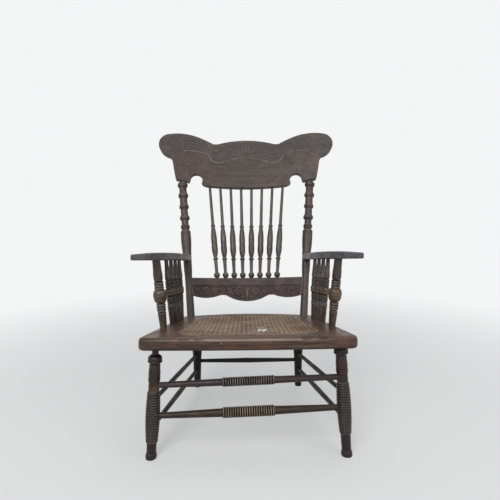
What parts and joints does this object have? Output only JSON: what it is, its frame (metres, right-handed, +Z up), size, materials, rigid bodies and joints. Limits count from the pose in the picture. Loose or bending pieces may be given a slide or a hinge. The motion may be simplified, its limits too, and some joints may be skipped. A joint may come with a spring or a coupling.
{
  "type": "spindle back armchair",
  "caption": "Wooden armchair with a turned spindle back, scrolled crest rail, caned seat, reeded front legs and turned stretchers.",
  "frame": {"origin": "on the floor, under the middle of the chair's overall width and depth", "axes": "+Z up, +X to the right side of the chair as seen from its front, -Y the way the chair faces"},
  "size_m": [0.68, 0.6712, 0.9812],
  "materials": {
    "turned_wood": "dark stain, worn",
    "arm_wood": "dark stain, worn",
    "carved_wood": "dark stain, pressed relief, worn",
    "seat_wood": "dark stain, worn edges",
    "cane": "aged, slightly glossy",
    "spline_reed": "aged",
    "dowel_wood": "bare",
    "steel": "dulled"
  },
  "bodies": {
    "root": {"arm_left": "arm_wood", "arm_post_left": "turned_wood", "arm_post_right": "turned_wood", "arm_right": "arm_wood", "arm_screws": "steel", "arm_spindle_left_1": "turned_wood", "arm_spindle_left_2": "turned_wood", "arm_spindle_left_3": "turned_wood", "arm_spindle_left_4": "turned_wood", "arm_spindle_right_1": "turned_wood", "arm_spindle_right_2": "turned_wood", "arm_spindle_right_3": "turned_wood", "arm_spindle_right_4": "turned_wood", "back_post_left": "turned_wood", "back_post_right": "turned_wood", "back_spindle_1": "turned_wood", "back_spindle_2": "turned_wood", "back_spindle_3": "turned_wood", "back_spindle_4": "turned_wood", "back_spindle_5": "turned_wood", "back_spindle_6": "turned_wood", "back_spindle_7": "turned_wood", "back_spindle_8": "turned_wood", "cane_spline": "spline_reed", "crest_rail": "carved_wood", "front_leg_left": "turned_wood", "front_leg_right": "turned_wood", "front_stretcher_lower": "turned_wood", "front_stretcher_upper": "turned_wood", "lower_back_rail": "carved_wood", "rear_leg_left": "turned_wood", "rear_leg_right": "turned_wood", "rear_stretcher": "turned_wood", "seat_back_rail": "seat_wood", "seat_cane": "cane", "seat_dowels": "dowel_wood", "seat_front_rail": "seat_wood", "seat_left_rail": "seat_wood", "seat_right_rail": "seat_wood", "side_stretcher_left_lower": "turned_wood", "side_stretcher_left_upper": "turned_wood", "side_stretcher_right_lower": "turned_wood", "side_stretcher_right_upper": "turned_wood"}
  },
  "joints": []
}
